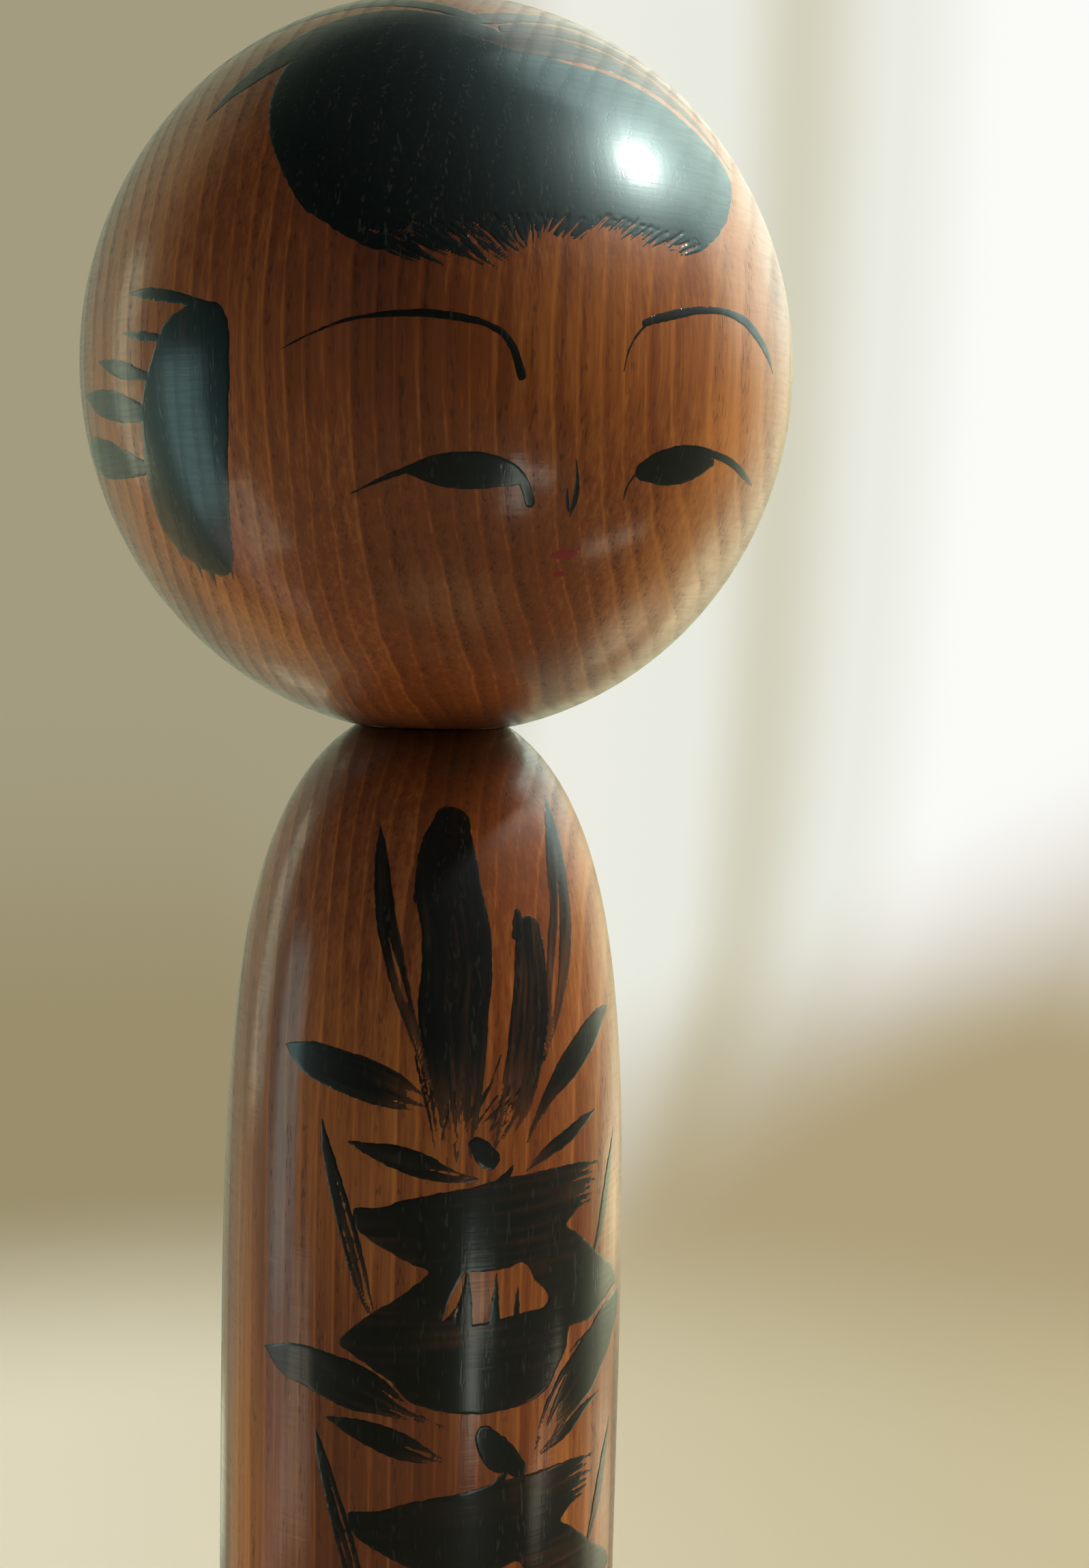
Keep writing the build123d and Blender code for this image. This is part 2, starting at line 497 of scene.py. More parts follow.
class Stroke(Mark):
    """One touch of the brush. Its places are (longitude, latitude or height, width in mm)."""

    dry = 1.0  # the share of the way along at which the brush begins to run dry
    dryness = 1.0  # how dry it is at the end
    streaks = 0.35  # how much the bristles show in the ink
    wobble = 0.08  # mm, unevenness of the edge

    def lay(self, chart):
        """Works out the spine on a chart, and gives the corners of the box round the stroke."""
        spine = chart.flat(self.places[:, 0], self.places[:, 1])
        self.line = smooth_line(np.column_stack([spine, self.places[:, 2]]), LINE_STEP)
        self.line[:, 2] = np.maximum(self.line[:, 2], 0)
        margin = self.line[:, 2].max() / 2 + MARGIN
        return self.line[:, :2].min(0) - margin, self.line[:, :2].max(0) + margin

    def measure(self, x, y):
        """How far inside the stroke each place is, in mm, and how dense its ink is there."""
        distance, side, along = nearest_on(self.line, x, y)
        length = np.hypot(*np.diff(self.line[:, :2], axis=0).T).sum()
        ways = np.linspace(0, length, len(self.line))
        half = np.interp(along, ways, self.line[:, 2]) / 2
        inside = half - distance + self.uneven(x, y, 1.6)
        widest = self.line[:, 2].max() / 2
        lane = side / np.maximum(half, 0.05) * widest
        bristle = 0
        for number, (share, fine, lasting) in enumerate(BRISTLES, 1):
            bristle = bristle + share * noise(lane * fine, along / lasting, self.seed + number)
        thirst = smoothstep(self.dry, 1.001, along / length) * self.dryness
        inside = np.minimum(inside, (bristle + BRISTLE_WET - BRISTLE_DRIED * thirst) * BRISTLE_DEPTH)
        density = 1 - self.streaks * (1 - bristle) - DRY_THIN * thirst
        return inside, density


class Patch(Mark):
    """An inked area inside a smooth closed outline through its (longitude, latitude or height)."""

    grain = 90.0  # degrees from level, the direction of the streaks
    streaks = 0.2
    thin = 0.0  # how thin the ink gets in places
    wobble = 0.12

    def lay(self, chart):
        """Works out the outline on a chart, and gives the corners of the box round it."""
        outline = chart.flat(self.places[:, 0], self.places[:, 1])
        looped = np.vstack([outline[-2:], outline, outline[:3]])
        line = smooth_line(looped, LINE_STEP)
        from_start, half = np.hypot(*(line - outline[0]).T), len(line) // 2
        first, last = from_start[:half].argmin(), half + from_start[half:].argmin()
        self.line = np.vstack([line[first:last], line[first]])
        return self.line.min(0) - MARGIN, self.line.max(0) + MARGIN

    def measure(self, x, y):
        """The same as for a stroke."""
        distance = nearest_on(self.line, x, y)[0]
        within = np.zeros(x.shape, bool)
        for (x0, y0), (x1, y1) in zip(self.line[:-1], self.line[1:]):
            if y0 != y1:
                within ^= ((y0 > y) != (y1 > y)) & (x < (x1 - x0) * (y - y0) / (y1 - y0) + x0)
        inside = np.where(within, distance, -distance) + self.uneven(x, y, 1.3)
        grain = radians(self.grain)
        lane = x * sin(grain) - y * cos(grain)
        way = x * cos(grain) + y * sin(grain)
        bristle = noise(lane * 2.0, way / 9, self.seed + 1)
        pool = noise(lane / 4, way / 11, self.seed + 2)
        return inside, 1 - self.streaks * (1 - bristle) - self.thin * (1 - pool)


def without_specks(inside, least):
    """Drops islands of ink that cover fewer than this many grid places."""
    label = np.where(inside, np.arange(1, inside.size + 1).reshape(inside.shape), 0)
    while True:
        grown = label.copy()
        grown[1:] = np.maximum(grown[1:], label[:-1])
        grown[:-1] = np.maximum(grown[:-1], label[1:])
        grown[:, 1:] = np.maximum(grown[:, 1:], grown[:, :-1])
        grown[:, :-1] = np.maximum(grown[:, :-1], grown[:, 1:])
        grown[~inside] = 0
        if (grown == label).all():
            break
        label = grown
    return inside & (np.bincount(label.ravel())[label] >= least)


def trace(inside, density, x, y):
    """The triangles of the inked part of a grid: flat places, depths, densities and faces."""
    rows, columns = inside.shape
    node = np.arange(rows * columns).reshape(rows, columns)
    a, b, c, d = node[:-1, :-1], node[:-1, 1:], node[1:, 1:], node[1:, :-1]
    corners = np.concatenate([np.stack(three, -1).reshape(-1, 3) for three in ((a, b, c), (a, c, d))])
    level = inside.ravel()
    wet = level[corners] > 0
    count = wet.sum(1)
    whole = corners[count == 3]

    def turned(few, alone):
        """Triangles turned so that the corner unlike the other two comes first."""
        tris, odd = corners[few], alone[few].argmax(1)
        return np.stack([tris[np.arange(len(tris)), (odd + k) % 3] for k in range(3)], -1)

    tips, stumps = turned(count == 1, wet), turned(count == 2, ~wet)
    cuts = np.concatenate([tips[:, [0, 1]], tips[:, [0, 2]], stumps[:, [1, 0]], stumps[:, [2, 0]]])
    edges, where = np.unique(cuts, axis=0, return_inverse=True)
    where = where.ravel() + level.size
    within, beyond = level[edges[:, 0]], level[edges[:, 1]]
    share = np.clip(within / (within - beyond), 0.02, 0.98)  # short of the ends, to leave no slivers
    t, s = len(tips), len(stumps)
    b, c, p, q = np.split(where, [t, 2 * t, 2 * t + s])
    parts = ((tips[:, 0], b, c), (p, stumps[:, 1], stumps[:, 2]), (p, stumps[:, 2], q))
    faces = np.concatenate([whole, *(np.stack(part, -1) for part in parts)])

    def values(grid):
        grid = grid.ravel()
        return np.concatenate([grid, grid[edges[:, 0]] * (1 - share) + grid[edges[:, 1]] * share])

    depth = np.concatenate([level, np.zeros(len(edges))])
    used, faces = np.unique(faces, return_inverse=True)
    faces = faces.reshape(-1, 3)
    return values(x)[used], values(y)[used], depth[used], values(density)[used], faces


def film(name, chart, marks, material, body, step, lift=INK_LIFT):
    """A film of ink over all the marks, as one piece that rides on a body. Its grid has this step, in mm."""
    boxes = [mark.lay(chart) for mark in marks]
    inked = np.array([box for mark, box in zip(marks, boxes) if not mark.bare])
    low, high = inked[:, 0].min(0), inked[:, 1].max(0)
    x, y = np.meshgrid(np.arange(low[0], high[0], step), np.arange(low[1], high[1], step))
    inside, density = np.full(x.shape, OUTSIDE), np.zeros(x.shape)
    for mark, (box_low, box_high) in zip(marks, boxes):
        first = np.clip(((box_low - low) / step).astype(int), 0, None)
        last = np.clip(((box_high - low) / step).astype(int) + 2, 0, None)
        window = (slice(first[1], last[1]), slice(first[0], last[0]))
        if not x[window].size:
            continue
        depth, dense = mark.measure(x[window], y[window])
        if mark.bare:
            inside[window] = np.minimum(inside[window], -depth)
            continue
        density[window] = np.where(depth > inside[window], dense, density[window])
        inside[window] = np.maximum(inside[window], depth)
    inside[[0, -1]] = inside[:, [0, -1]] = OUTSIDE
    inside = np.where((inside > 0) & ~without_specks(inside > 0, LEAST_SPOT), OUTSIDE / 20, inside)
    flat_x, flat_y, depth, dense, faces = trace(inside, density, x, y)
    raised = lift * smoothstep(0, INK_EDGE, depth) * (0.5 + 0.5 * dense)
    raised -= INK_SUNK * lift * (depth <= 0)
    places = chart.solid(flat_x, flat_y, raised).tolist()
    piece = add_mesh(name, places, faces.tolist(), material)
    ink_density = piece.data.attributes.new("ink_density", "FLOAT", "POINT")
    ink_density.data.foreach_set("value", dense.astype(np.float32))
    flat_places = np.column_stack([flat_x - low[0], flat_y - low[1]]) / max(high - low)
    corners = flat_places[faces.ravel()].astype(np.float32)
    piece.data.uv_layers.new(name="OFBake").data.foreach_set("uv", corners.ravel())
    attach(piece, body)


def ink_material(name, full, thin, sheen=INK_SHEEN, pores=0.4):
    """Ink over wood: dense ink hides the wood, thin ink lets it show, and over open pores it turns pale
    grey, partly unfilled pores and partly painted glints.
    """
    material, n, shader = new_material(name)
    wood, normal = wood_and_normal(n, 0.8)
    density = n.add("ShaderNodeAttribute", attribute_name="ink_density").outputs["Fac"]
    colour = n.mix(n.range(density, 0.3, 0.85), n.mix(0.35, thin, wood["Color"]), full)
    # Open pores turn pale grey: partly unfilled, partly painted glints
    colour = n.mix(n.times(wood["Pores"], pores), colour, PALE_PORE_AND_GLINT)
    rough = n.range(density, 0, 1, 0.55, 0.4, "LINEAR")
    n.feed(shader, {"Base Color": colour, "Normal": normal, "Roughness": rough})
    n.feed(shader, {"Specular IOR Level": 0.6, "Specular Tint": sheen})
    varnish(n, shader, wood, normal)
    finish_surface(n, shader)
    return material


black = ink_material("black_ink", INK_BLACK, INK_THIN)
hair_black = ink_material("hair_ink", HAIR_BLACK, INK_THIN, HAIR_SHEEN, pores=0.6)
red = ink_material("red_ink", INK_RED, srgb(150, 60, 40))


# ---------------------------------------------------------------- painting on the head

face = HeadChart(0, -10)


def on_face(name, *marks, ink=black, slot="black_ink"):
    """Fine lines of the face, from a brush that carries less ink."""
    film(name, face, marks, ink, "head", 0.12, INK_LIFT * 0.6)


def hair(name, chart, marks, step):
    """Hair, in broad wet strokes."""
    film(name, chart, marks, hair_black, "head", step)


def strokes(rows, change, seed, count_up=0, **style):
    """A stroke for each row of places, with a change made to each place."""
    seeds = [seed + count_up * number for number in range(len(rows))]
    return [Stroke(*map(change, row), seed=own, **style) for row, own in zip(rows, seeds)]


on_face(
    "brow_right",
    Stroke((-45.5, -1.8, 0.1), (-40, 0.7, 0.25), (-35, 2.5, 0.4), (-30, 3.3, 0.6), (-25, 3.6, 0.9),
           (-20, 3.3, 0.9), (-15, 2.2, 0.75), (-12.8, 0.9, 0.85), (-11.7, -0.8, 0.95), (-10.5, -4.2, 1.05),
           wobble=0.05, streaks=0.15, seed=11),
)
on_face(
    "brow_left",
    Stroke((5, -2.9, 0.1), (5.5, -0.4, 0.2), (6.6, 1.7, 0.25), (8.4, 3.6, 0.3), wobble=0.04, seed=20),
    Stroke((8.3, 3.9, 0.8), (11, 4.8, 1.0), (15, 5.8, 1.05), (20, 6.7, 0.85), (25, 6.9, 0.85),
           (30, 6.1, 1.25), (35, 3.8, 1.4), (37.5, 2.2, 1.2), (40.3, -0.6, 0.2),
           wobble=0.05, streaks=0.15, seed=21),
)
on_face(
    "eye_right",
    Stroke((-34.8, -20.8, 0.15), (-30, -18.7, 0.6), (-25, -16.9, 0.9), (-19, -15.6, 0.9),
           (-13.5, -15.7, 1.0), (-10.4, -17.1, 1.1), (-8.9, -19, 1.2), (-7.7, -21.6, 1.15),
           wobble=0.05, streaks=0.1, seed=31),
    Stroke((-26.6, -17.4, 0.7), (-23, -17.3, 3.2), (-18.5, -17.3, 4.3), (-14, -17.3, 3.9),
           (-10.6, -17.9, 2.2), wobble=0.06, streaks=0.1, seed=32),
)
on_face(
    "eye_left",
    Stroke((9.2, -16.5, 0.4), (11, -14.8, 0.7), (15, -13.3, 0.9), (20, -12.8, 0.9), (25, -13.4, 0.9),
           (30, -14.3, 0.95), (35, -15.9, 1.0), (39.8, -17.4, 0.3), wobble=0.05, streaks=0.1, seed=41),
    Stroke((10.4, -16.4, 2.2), (13, -16, 3.7), (17, -15.5, 4.4), (21, -15, 3.6), (24.8, -14.6, 1.0),
           wobble=0.06, streaks=0.1, seed=42),
    Stroke((8, -20.8, 0.12), (8, -18.8, 0.26), (8.9, -17.2, 0.32), wobble=0.02, seed=43),
)
on_face(
    "nose",
    Stroke((-1.4, -15, 0.12), (-0.8, -17.5, 0.4), (-0.5, -20, 0.7), (-0.6, -21.6, 0.65),
           (-0.9, -23.5, 0.15), wobble=0.04, seed=51),
    Stroke((-2.1, -19.3, 0.12), (-1.8, -21, 0.5), (-1.2, -22.7, 0.2), wobble=0.03, seed=52),
)
on_face(
    "lips",
    Stroke((-2.1, -29.4, 0.8), (-1, -29.2, 1.25), (0.5, -29.4, 1.2), (1.9, -28.9, 0.6),
           wobble=0.12, seed=61),
    Stroke((-1.0, -32.6, 0.6), (0.4, -32.5, 0.65), wobble=0.1, seed=62),
    ink=red,
    slot="red_ink",
)

# Fringe: a solid area whose lower edge is made of single brushed hairs
FRINGE = (
    (-55.5, 45), (-55.5, 41), (-53.5, 34), (-51.5, 30), (-48.5, 25.5), (-45.5, 21.5), (-42.5, 18),
    (-39, 15.9), (-35, 13.6), (-31, 12), (-27, 12), (-21, 14), (-15, 15.4), (-10, 15.6), (-5, 15),
    (0, 15.6), (4, 17), (9, 16.6), (13, 15.3), (17, 14.3), (20, 14.9), (24, 17), (28, 19.5),
    (32, 22.8), (35.5, 26.2), (38, 29.2), (37.4, 32), (34, 35.5), (30, 38.6), (24, 42), (15, 44.8),
    (5, 46), (-6, 48), (-18, 52), (-32, 55), (-45, 53), (-52, 49.5),
)
FRINGE_PLACES = (-33, -24, -16, -10, -4, 4, 12, 20)  # longitudes of the four rows below
HAIR_ROOTS = (14, 15.5, 16.4, 17, 17.2, 17.8, 17, 16.6)  # latitudes
HAIR_LEANS = (8, 8, 5, 0.5, -2.5, -3.4, -4, -3.5)  # degrees of longitude from root to tip
HAIR_REACHES = (3.4, 4.6, 4.4, 3.6, 3.8, 3.2, 2.6, 1.8)  # degrees of latitude
HAIR_SPACING = 0.55  # degrees of longitude from one hair to the next
CLUMP = 2.4  # degrees of longitude between the brush's clumps of hairs
fringe_marks = [Patch(*FRINGE, seed=70)]
hairs = np.random.default_rng(71)
for longitude in np.arange(FRINGE_PLACES[0], FRINGE_PLACES[-1], HAIR_SPACING):
    rows = (HAIR_ROOTS, HAIR_LEANS, HAIR_REACHES)
    root, lean, reach = (np.interp(longitude, FRINGE_PLACES, row) for row in rows)
    clump = float(noise(np.array([longitude / CLUMP]), np.array([0.5]), 72)[0])
    lean += hairs.normal(0, 0.7)
    reach *= hairs.uniform(0.5, 0.9) + 0.7 * clump
    wide = hairs.uniform(0.25, 0.7)
    middle = (longitude + lean * 0.6, root - reach * 0.7)
    tip = (longitude + lean * 1.1, root - reach - 0.5)
    fringe_marks.append(
        Stroke((longitude, root, wide), (*middle, wide * 0.8), (*tip, 0.06), dry=0.35, dryness=0.5,
               wobble=0.04, seed=int(hairs.integers(1000)))
    )
    parting = hairs.uniform(0.12, 0.3) + 0.35 * (1 - clump)
    height = hairs.uniform(0, 1.4) + 2 * (1 - clump)
    start = longitude + 0.3 - lean * 0.25 * height / reach
    fringe_marks.append(
        Stroke((longitude + 0.3 + lean, root - reach, parting), (start, root - 1.6 + height, 0.05),
               wobble=0.03, bare=True, seed=int(hairs.integers(1000)))
    )
hair("hair_fringe", HeadChart(-10, 28), fringe_marks, 0.19)

# Hair over the crown: pointed strands that sweep back from the middle to both sides
crown = HeadChart(-10, 62)
hair(
    "hair_crown_left",
    crown,
    [
        Stroke((-16, 50.5, 4), (-4, 49.8, 5), (8, 49.9, 5.2), (20, 47.9, 4.8), (30, 43.6, 3.6),
               (36.5, 37.6, 2.1), (40.8, 30.8, 0.2), dry=0.05, dryness=0.5, streaks=0.7, seed=81),
        Stroke((-20, 55.5, 3.2), (-9, 57.6, 3.2), (4, 59.8, 2.8), (18, 60, 2.4), (34, 55, 1.8),
               (46, 47, 0.2), dry=0.2, dryness=0.5, streaks=0.6, seed=82),
        Stroke((-6, 53.8, 2.8), (6, 55.4, 3.4), (18, 54.6, 3.4), (29, 50.8, 3.0), (38, 44.6, 2.0),
               (45, 36.5, 0.2), dry=0.05, dryness=0.5, streaks=0.7, seed=87),
        Stroke((16, 45.4, 0.05), (22, 43.8, 0.2), (28, 41, 0.3), (33, 38, 0.2), bare=True, seed=85),
        Stroke((6, 51.8, 0.05), (18, 50.4, 0.2), (29, 46.6, 0.25), (37, 41, 0.3), bare=True, seed=86),
    ],
    0.22,
)
hair(
    "hair_crown_right",
    crown,
    [
        Stroke((-12, 52.5, 3.5), (-24, 54.5, 6), (-38, 55.5, 7.5), (-50, 53, 7.5), (-58, 47.5, 6),
               (-63.5, 42, 3.8), (-67, 37.6, 1.8), (-68.8, 34, 0.2), dry=0.5, dryness=0.4, seed=83),
        Stroke((-14, 57, 2.6), (-26, 61.5, 3), (-45, 64, 3.4), (-66, 61.5, 3.2), (-82, 54, 2.2),
               (-92, 46, 0.2), dry=0.4, dryness=0.5, seed=84),
    ],
    0.22,
)

# Side locks with their short strands, one behind each temple
LOCK = (
    (-54.6, 4.9), (-53.3, 3), (-52.8, 0), (-52.9, -5), (-53.6, -11), (-55, -18), (-57, -26), (-59.5, -32),
    (-62, -34), (-66, -34), (-70, -32), (-73, -29.5), (-74.6, -26), (-74.2, -20), (-72.6, -13),
    (-70.6, -6), (-68.5, -2.4), (-66.5, 1), (-65, 3), (-62, 4.6), (-58, 5.4),
)
LOCK_TAILS = (
    ((-59, -28, 1.4), (-61.2, -36, 0.2)), ((-62, -28, 1.8), (-64.5, -35.5, 0.3)),
    ((-65, -29, 1.6), (-67.3, -38.5, 0.3)), ((-68, -28, 1.6), (-69.6, -36, 0.3)),
    ((-71, -26, 1.4), (-73.2, -33.5, 0.2)),
)
STRANDS = (
    ((-75.5, 7.6, 0.1), (-69, 7.1, 1.4), (-62, 6, 1.2), (-55.5, 4.8, 0.5)),
    ((-76.5, 2, 0.1), (-71, 1.3, 1.1), (-66.5, 0.8, 0.9)),
    ((-84.8, -1.6, 0.2), (-77.5, -3, 2.1), (-70, -4.3, 1.2)),
    ((-94.5, -6, 0.3), (-86, -7.5, 3.1), (-79, -8.3, 3.6), (-71.5, -9.5, 2.2)),
    ((-104, -14, 0.3), (-92, -15.3, 5), (-82, -16.3, 4.3), (-74.5, -17.2, 2)),
)


def side_lock(side, mirror, shift, seed):
    """The lock at one side. Mirror is 1, or -1 for the mirror image, and shift is in degrees."""

    def across(place):
        return (mirror * place[0] + shift, *place[1:])

    marks = [Patch(*map(across, LOCK), streaks=0.3, seed=seed)]
    marks += strokes(LOCK_TAILS, across, seed, count_up=1, dry=0.3)
    marks += strokes(STRANDS, across, seed + 20, count_up=1, dry=0.9, dryness=0.25, streaks=0.2)
    hair(f"hair_lock_{side}", HeadChart(mirror * -75 + shift, -12), marks, 0.2)


side_lock("right", 1, 0, 90)
side_lock("left", -1, 7, 95)


# ---------------------------------------------------------------- painting on the body

barrel = BodyChart()
TIER_PITCH = 39.6  # mm from one flower to the next


def on_body(name, *marks, lift=INK_LIFT):
    film(name, barrel, marks, black, "body", 0.2, lift)


# The four petals of the top flower, the bare lines in them, and the hairlines of their dry tails
petals = [
    Stroke((-40.9, 197.6, 0.1), (-39.4, 195, 1.3), (-37.3, 190.5, 2.3), (-35.6, 187, 2.6),
           (-32.8, 182.5, 2.7), (-30.8, 179.5, 2.5), (-28.4, 176, 2.0), (-26, 173, 1.5), (-23, 169, 1.0),
           (-20.5, 165.5, 0.5), dry=0.35, dryness=0.8, streaks=0.5, seed=101),
    Stroke((-13.8, 198, 4.6), (-15.2, 195.5, 6.6), (-15.7, 190, 8.4), (-13.6, 185, 8.8), (-13.3, 180, 9.0),
           (-14.4, 175, 9.0), (-13.9, 170, 8.0), (-13.3, 166, 6.6), (-12.8, 162, 5.2), (-12, 157.5, 3.2),
           dry=0.62, dryness=0.95, seed=102),
    Stroke((-25.4, 191, 1.0), (-25.5, 188.8, 1.2), wobble=0.2, seed=103),
    Stroke((10.3, 184.6, 3.6), (10.1, 182, 4.5), (9.9, 179, 4.9), (9, 175, 5.6), (7.2, 170, 5.5),
           (5.2, 166, 5.2), (2.5, 162, 4.2), (-1, 158.5, 2.2),
           dry=0.42, dryness=0.95, streaks=0.5, seed=104),
    Stroke((6.5, 187, 0.9), (7.2, 184.5, 2.6), wobble=0.15, seed=105),
    Stroke((34.6, 200.8, 0.2), (30.8, 197.6, 2.2), (28.2, 194.5, 3.2), (26, 190, 3.9), (24.6, 186, 4.1),
           (22.6, 183, 4.5), (20.8, 180, 4.1), (19.2, 177, 3.3), (17.5, 174, 2.4), (15.3, 171, 1.3),
           (13.3, 168, 0.3), dry=0.3, dryness=0.75, streaks=0.6, seed=106),
    Stroke((25.8, 190, 0.1), (22.6, 184.5, 0.4), (19.3, 179.5, 0.6), (16.7, 175, 0.3), bare=True, seed=107),
    Stroke((21.5, 181.5, 0.1), (19.3, 177.8, 0.4), (16.6, 173.6, 0.3), bare=True, seed=108),
    Stroke((-34, 184, 0.1), (-31.3, 180.5, 0.4), (-28, 176.3, 0.5), bare=True, seed=109),
]
TAIL_STARTS = (-25, 14, 30)  # longitudes of the first and the last hairline, and how many there are
tails = np.random.default_rng(110)
for start in np.linspace(*TAIL_STARTS):
    top = tails.uniform(162.5, 170)
    end = -8.5 + 0.45 * start + tails.normal(0, 1.2)
    low = tails.uniform(156.4, 160.5) if start < -12 or start > -2 else tails.uniform(159.8, 161.5)
    wide = tails.uniform(0.16, 0.4)
    petals.append(Stroke((start, top, wide), ((start + end) / 2, (top + low) / 2, wide), (end, low, 0.08),
                         dry=0.0, dryness=0.75, wobble=0.1, seed=int(tails.integers(1000))))
on_body("petals", *petals)

BAND = (
    (-41, 149.6), (-33, 150.4), (-28, 151.3), (-20, 152.2), (-10, 152.9), (0, 153.8), (10, 154),
    (20, 154.1), (27, 153.8), (30.5, 152.6), (29, 150.6), (27.5, 149), (24.5, 147.6), (20.5, 146.3),
    (25, 144.8), (30, 142.9), (38, 140.1), (47.5, 137), (49.5, 135.5), (42, 134.3), (36, 133.3),
    (33, 132.5), (28, 132.5), (23, 132.6), (21, 129.5), (18, 127.6), (15, 125.4), (10, 124.2),
    (0, 123.5), (-10, 123.6), (-20, 124.6), (-25, 125.5), (-30, 128), (-35, 129.5), (-40, 131),
    (-44, 132.2), (-40, 134.9), (-35, 136.8), (-30, 138.3), (-25, 140.2), (-20.3, 142.3),
    (-25, 143.3), (-30, 144.5), (-36, 146), (-40, 147.6),
)
BAND_COMB = (
    ((27, 153.4, 0.9), (35.5, 153.1, 0.1)), ((27, 152.3, 0.8), (33, 152.0, 0.1)),
    ((27, 151.3, 1.0), (35, 150.9, 0.1)), ((26, 150.2, 1.0), (33.5, 150.0, 0.1)),
    ((25, 149.2, 1.0), (34.5, 149.3, 0.1)), ((24, 148.3, 0.9), (31.5, 148.5, 0.1)),
)
BAND_COMB_GAPS = (
    ((23.5, 151.7, 0.1), (27, 151.8, 0.3), (33, 151.8, 0.6)),
    ((25, 149.6, 0.1), (29, 149.7, 0.4), (34, 149.7, 0.5)),
    ((26.5, 152.8, 0.1), (33, 152.6, 0.4)), ((-25, 140.9, 0.3), (-21.5, 141.9, 0.1)),
)
BAND_GAP = (
    (-12.5, 135.6), (-11.8, 139), (-10.6, 141.9), (-5, 142), (2, 142.2), (5.8, 142.6), (9.5, 140.1),
    (14.3, 137), (13.2, 136.3), (8, 136.1), (0, 135.7), (-8, 135.3),
)
BAND_WEDGE = ((-16.4, 136, 0.2), (-14.4, 137.6, 1.0), (-12.4, 139.8, 1.1), (-10.8, 141.8, 0.3))
BAND_SPIKES = (
    ((-10.7, 133.5, 2.2), (-10.5, 137.5, 1.8), (-10.2, 140, 1.0), (-10, 142.3, 0.4)),
    ((-2.4, 133.5, 1.7), (-2.3, 137.2, 1.2), (-2.1, 139.6, 0.7), (-2.0, 141.6, 0.1)),
    ((4.2, 133.5, 1.0), (4.2, 136.8, 0.8), (4.5, 139.9, 0.1)),
    ((-1, 153.2, 1.4), (1, 154.2, 1.0), (2.6, 155.3, 0.2)),
)
LEAVES_1 = (
    ((-66, 169.3, 0.1), (-58, 168.3, 4), (-48, 167.3, 5.2), (-38, 166.2, 5.4), (-30, 165, 4.6),
     (-24, 163.9, 2.4), (-17, 162.9, 0.4)),
    ((47, 172.9, 0.1), (40, 172, 2.6), (35, 170.9, 3.7), (30, 169.4, 4.2), (25, 167.8, 4.1), (20, 166, 3.5),
     (15, 163.8, 2.1), (10, 160.6, 1.0), (5.5, 156.4, 0.2)),
    ((-43.5, 158.4, 0.1), (-36, 157.5, 1.9), (-28, 156.6, 3.2), (-22, 155.7, 3.1), (-16, 154.6, 2),
     (-10, 154, 0.8), (-4, 153.8, 0.2)),
    ((34, 160.2, 0.1), (27, 159.1, 1.5), (20, 157.6, 2.1), (15, 156.7, 1.8), (10, 155.3, 1.1),
     (6, 154.2, 0.3)),
)
LEAVES_2 = (
    ((-70, 129.4, 0.1), (-62, 128.7, 4.2), (-54, 128.5, 5.4), (-47, 127.8, 5.9), (-40, 126.9, 6.2),
     (-34, 126, 5.0), (-29, 124.8, 3.2), (-24, 123.7, 1.6), (-14, 121.6, 0.3)),
    ((50, 132, 4), (42, 130.2, 6.6), (35, 127.9, 7.4), (29, 126.2, 8.4), (24, 124.5, 7.4), (19, 122.2, 5.4),
     (14.5, 119, 3.2), (10.5, 116.2, 0.4)),
    ((-48, 122.4, 0.1), (-41, 121.7, 2.2), (-34, 120.8, 3.4), (-27, 119.6, 3.6), (-20, 118.3, 2),
     (-12, 117, 0.3)),
    ((38, 121.7, 0.1), (30, 120.8, 1.2), (22, 118.8, 1.8), (11, 116.4, 0.3)),
)
LEAF_GAPS_1 = (
    ((-29, 165.6, 0.1), (-24, 164.6, 0.4), (-19, 163.9, 0.5)), ((-31, 163.9, 0.1), (-24, 163.2, 0.3)),
    ((-21, 155.4, 0.1), (-13, 154.6, 0.4)),
)
LEAF_GAPS_2 = (
    ((27.5, 130, 0.1), (23, 128.7, 0.7), (18.5, 127.2, 1.1), (14.5, 124.6, 1.2)),
    ((21, 126.2, 0.1), (18, 124.5, 0.5), (15, 121.9, 0.6), (12.6, 119.3, 0.5)),
    ((19.5, 122.8, 0.1), (17, 121, 0.4), (14, 118.9, 0.4)),
    ((-32, 126.8, 0.1), (-27, 125.2, 0.5), (-22, 124, 0.6)), ((-30, 124.4, 0.1), (-24, 123.2, 0.4)),
    ((-26, 119.6, 0.1), (-19, 118.4, 0.5)),
)
DOT_1 = (
    (-10, 158.8), (-7.6, 159.3), (-5, 158.6), (-2.4, 157.4), (-1.2, 156.4), (-1.9, 155.4), (-4, 155),
    (-6.5, 155.3), (-8.6, 156.6),
)
DOT_2 = (
    (-7.3, 120.5), (-5.6, 121.9), (-4, 121.9), (-1, 120.8), (3, 119.2), (6, 117.2), (8.2, 114.9),
    (6.5, 114), (2, 115.2), (-1, 115.3), (-4, 116.7), (-6.4, 118.8),
)
BLADES = (
    ((-51.2, 160.8, 0.1), (-49.6, 157.6, 1.3), (-47.8, 155, 1.8), (-44.4, 150, 2.3), (-41.1, 145, 2.5),
     (-38, 140, 1.9), (-35.8, 137, 1.0)),
    ((46.5, 156.5, 0.1), (42, 151, 1.8), (37.5, 145, 2), (33.5, 141.3, 0.8)),
)
